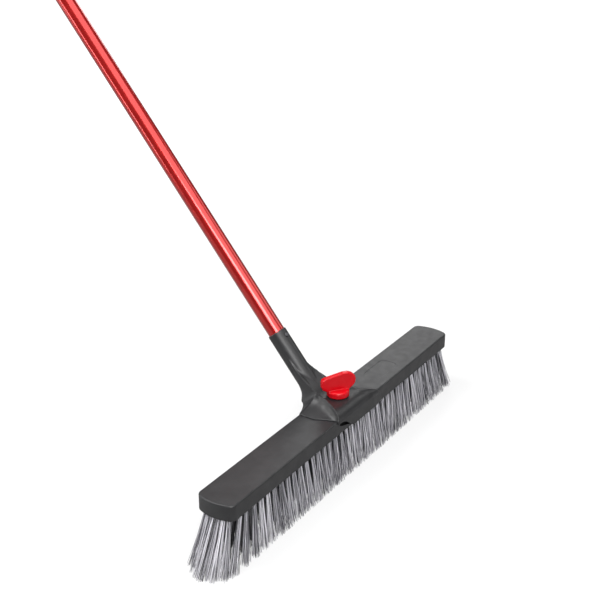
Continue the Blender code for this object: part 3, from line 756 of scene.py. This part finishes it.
cap_bore = lathe("cap bore", on_axis(handle_end - cap_sleeve - 0.002), axis,
                 [(0, handle_radius + fit_gap), (cap_sleeve + 0.0023, handle_radius + fit_gap)], 96)
carve(cap, hang_hole, cap_bore)
wear(cap, moulded_plastic("cap black", (0.010, 0.010, 0.011), (0.016, 0.016, 0.017),
                          (0.34, 0.42), 2200.0, 0.10))
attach(cap, "broom")
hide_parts("hang_cap")


# Knob: a glossy red moulding with a round collar and one flat wing, moulded over the head of a
# zinc-plated bolt. The bolt clamps the bracket through a washer into a brass insert in the block.
knob_base = deck_z + 0.0009
collar_height, knob_height = 0.0100, 0.035
wing_span, wing_thick, wing_turn = 0.052, 0.0085, math.radians(-37.0)
collar_profile = [(0, knob_radius - 0.0010), (0.0010, knob_radius),
                  (collar_height - 0.0025, knob_radius),
                  (collar_height - 0.0007, knob_radius - 0.0012),
                  (collar_height, knob_radius - 0.0035)]
collar = lathe("collar", (0, 0, knob_base), (0, 0, 1), collar_profile, 72)


def wing_rings():
    """The wing's outline, repeated through its thickness and drawn in at both faces."""
    half, top = wing_span / 2, knob_height
    outline = [(-0.0135, 0.0050), (0.0135, 0.0050), (0.0175, 0.0095), (0.0225, 0.0130),
               (half - 0.0006, 0.0180), (half, 0.0240), (half - 0.0016, 0.0290), (0.0205, 0.0325),
               (0.0140, top), (0.0070, top), (-0.0080, top - 0.0028), (-0.0215, top - 0.0055),
               (-half + 0.0010, 0.0275), (-half, 0.0240), (-half, 0.0165),
               (-half + 0.0016, 0.0122), (-0.0185, 0.0088)]
    spin = Matrix.Rotation(wing_turn, 4, "Z")
    centre_z = 0.017
    rings = []
    for across, size in ((-0.5, 0.94), (-0.46, 0.97), (-0.36, 1.0), (0.36, 1.0), (0.46, 0.97),
                         (0.5, 0.94)):
        rings.append([spin @ Vector((x * size, across * wing_thick,
                                     knob_base + centre_z + (z - centre_z) * size))
                      for x, z in outline])
    return rings


knob = fair(merge("knob_shell", [collar, skin("wing", wing_rings())]), 0.00045, 5)
washer_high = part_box("bolt_washer")[1]
head_seat = knob_base + 0.0035
bolt_space = lathe("bolt space", (0, 0, knob_base - 0.002), (0, 0, 1),
                   [(0, bolt_radius + fit_gap), (0.008, bolt_radius + fit_gap)], 32)
head_space = lathe("head space", (0, 0, head_seat - fit_gap), (0, 0, 1),
                   [(0, 0.0058), (0.0048, 0.0058)], 6)
washer_space = lathe("washer space", (0, 0, knob_base - 0.002), (0, 0, 1),
                     [(0, washer_high.x + fit_gap),
                      (washer_high.z + fit_gap - knob_base + 0.002, washer_high.x + fit_gap)], 48)
carve(knob, bolt_space, head_space, washer_space)
red_plastic = moulded_plastic("gloss red", (0.40, 0.0015, 0.005), (0.48, 0.002, 0.007),
                              (0.18, 0.26), 1200.0, 0.02)
red_plastic.node_tree.nodes["Principled BSDF"].inputs["Specular IOR Level"].default_value = 0.25
wear(knob, red_plastic)
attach(knob, "knob")
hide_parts("clamp_knob")

zinc = worked_metal("zinc plate", (0.48, 0.48, 0.50), (0.66, 0.66, 0.67), (0.25, 0.4), 1400.0)
wear(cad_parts["clamp_bolt"], zinc)
wear(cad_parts["bolt_washer"], zinc)
wear(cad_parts["threaded_insert"],
     worked_metal("turned brass", (0.55, 0.38, 0.14), (0.70, 0.52, 0.22), (0.25, 0.4), 1400.0))


# Floor and light: a plain matt white floor, lit by large soft panels that stand round and over
# the broom, with a white surround. Two of the panels run along the handle to streak its gloss.
floor_half = 12.0
floor = skin("floor", [[(-floor_half, -floor_half, z), (floor_half, -floor_half, z),
                        (floor_half, floor_half, z), (-floor_half, floor_half, z)]
                       for z in (-0.02, -0.0004)])
floor_paint = bpy.data.materials.new("white floor")
floor_paint.use_nodes = True
floor_shader = floor_paint.node_tree.nodes["Principled BSDF"]
floor_shader.inputs["Base Color"].default_value = (0.30, 0.30, 0.30, 1.0)
floor_shader.inputs["Roughness"].default_value = 0.9
floor_shader.inputs["Specular IOR Level"].default_value = 0.1
floor_shader.inputs["Emission Color"].default_value = (1.0, 1.0, 1.0, 1.0)
wear(floor, floor_paint)

# Seen directly, the floor glows a little near the broom and more far off, so that it stays white
# up to the horizon; what it throws back on the broom is only the light that falls on it.
floor_nodes, floor_links = floor_paint.node_tree.nodes, floor_paint.node_tree.links
floor_place = floor_nodes.new("ShaderNodeTexCoord")
far_off = floor_nodes.new("ShaderNodeVectorMath")
far_off.operation = "LENGTH"
floor_links.new(floor_place.outputs["Object"], far_off.inputs[0])
glow = floor_nodes.new("ShaderNodeMapRange")
glow.inputs["From Min"].default_value = 0.7
glow.inputs["From Max"].default_value = 2.4
glow.inputs["To Min"].default_value = 0.56
glow.inputs["To Max"].default_value = 1.1
floor_links.new(far_off.outputs["Value"], glow.inputs["Value"])
seen_only = floor_nodes.new("ShaderNodeMath")
seen_only.operation = "MULTIPLY"
floor_links.new(glow.outputs["Result"], seen_only.inputs[0])
looked_at = floor_nodes.new("ShaderNodeLightPath")
floor_links.new(looked_at.outputs["Is Camera Ray"], seen_only.inputs[1])
floor_links.new(seen_only.outputs["Value"], floor_shader.inputs["Emission Strength"])

surround = bpy.data.worlds.new("surround")
bpy.context.scene.world = surround
surround.use_nodes = True
tree = surround.node_tree
lit = tree.nodes["Background"]
lit.inputs["Color"].default_value = (1.0, 1.0, 1.0, 1.0)
lit.inputs["Strength"].default_value = 0.10
seen = tree.nodes.new("ShaderNodeBackground")
seen.inputs["Color"].default_value = (1.0, 1.0, 1.0, 1.0)
seen.inputs["Strength"].default_value = 1.05
either = tree.nodes.new("ShaderNodeMixShader")
ray_kind = tree.nodes.new("ShaderNodeLightPath")
tree.links.new(ray_kind.outputs["Is Camera Ray"], either.inputs["Fac"])
tree.links.new(lit.outputs["Background"], either.inputs[1])
tree.links.new(seen.outputs["Background"], either.inputs[2])
tree.links.new(either.outputs["Shader"], tree.nodes["World Output"].inputs["Surface"])


def soft_panel(name, place, aim, width, height, watts, roll=0.0):
    """An even, rectangular light that faces a point; roll turns it about that direction."""
    light = bpy.data.lights.new(name, "AREA")
    light.shape = "RECTANGLE"
    light.size, light.size_y = width, height
    light.energy = watts
    made = bpy.data.objects.new(name, light)
    bpy.context.scene.collection.objects.link(made)
    made.location = place
    facing = (Vector(place) - Vector(aim)).to_track_quat("Z", "Y")
    made.rotation_euler = (facing @ Quaternion((0, 0, 1), math.radians(roll))).to_euler()


soft_panel("key", (-0.36, -0.75, 2.15), (0, 0.35, 0.45), 2.6, 2.6, 62)
soft_panel("left key", (-1.75, -1.45, 1.45), (0, 0, 0.1), 1.2, 1.2, 50)
soft_panel("overhead", (-0.8, 1.0, 2.1), (0, 0, 0.1), 1.1, 1.1, 36)
soft_panel("left strip", (-1.42, 1.75, 0.85), (0, 0.55, 0.75), 0.32, 2.1, 15, roll=33)
soft_panel("back left", (-0.7, 2.3, 0.5), (0, 0, 0.15), 1.3, 1.0, 9)
soft_panel("back right", (2.1, 1.03, 1.2), (0, 0, 0.1), 0.8, 0.8, 7)
soft_panel("high back", (1.43, 1.3, 2.0), (0, 0, 0.1), 1.0, 0.7, 5)
soft_panel("front right", (1.9, -1.1, 1.3), (0, 0, 0.1), 0.8, 1.4, 8)
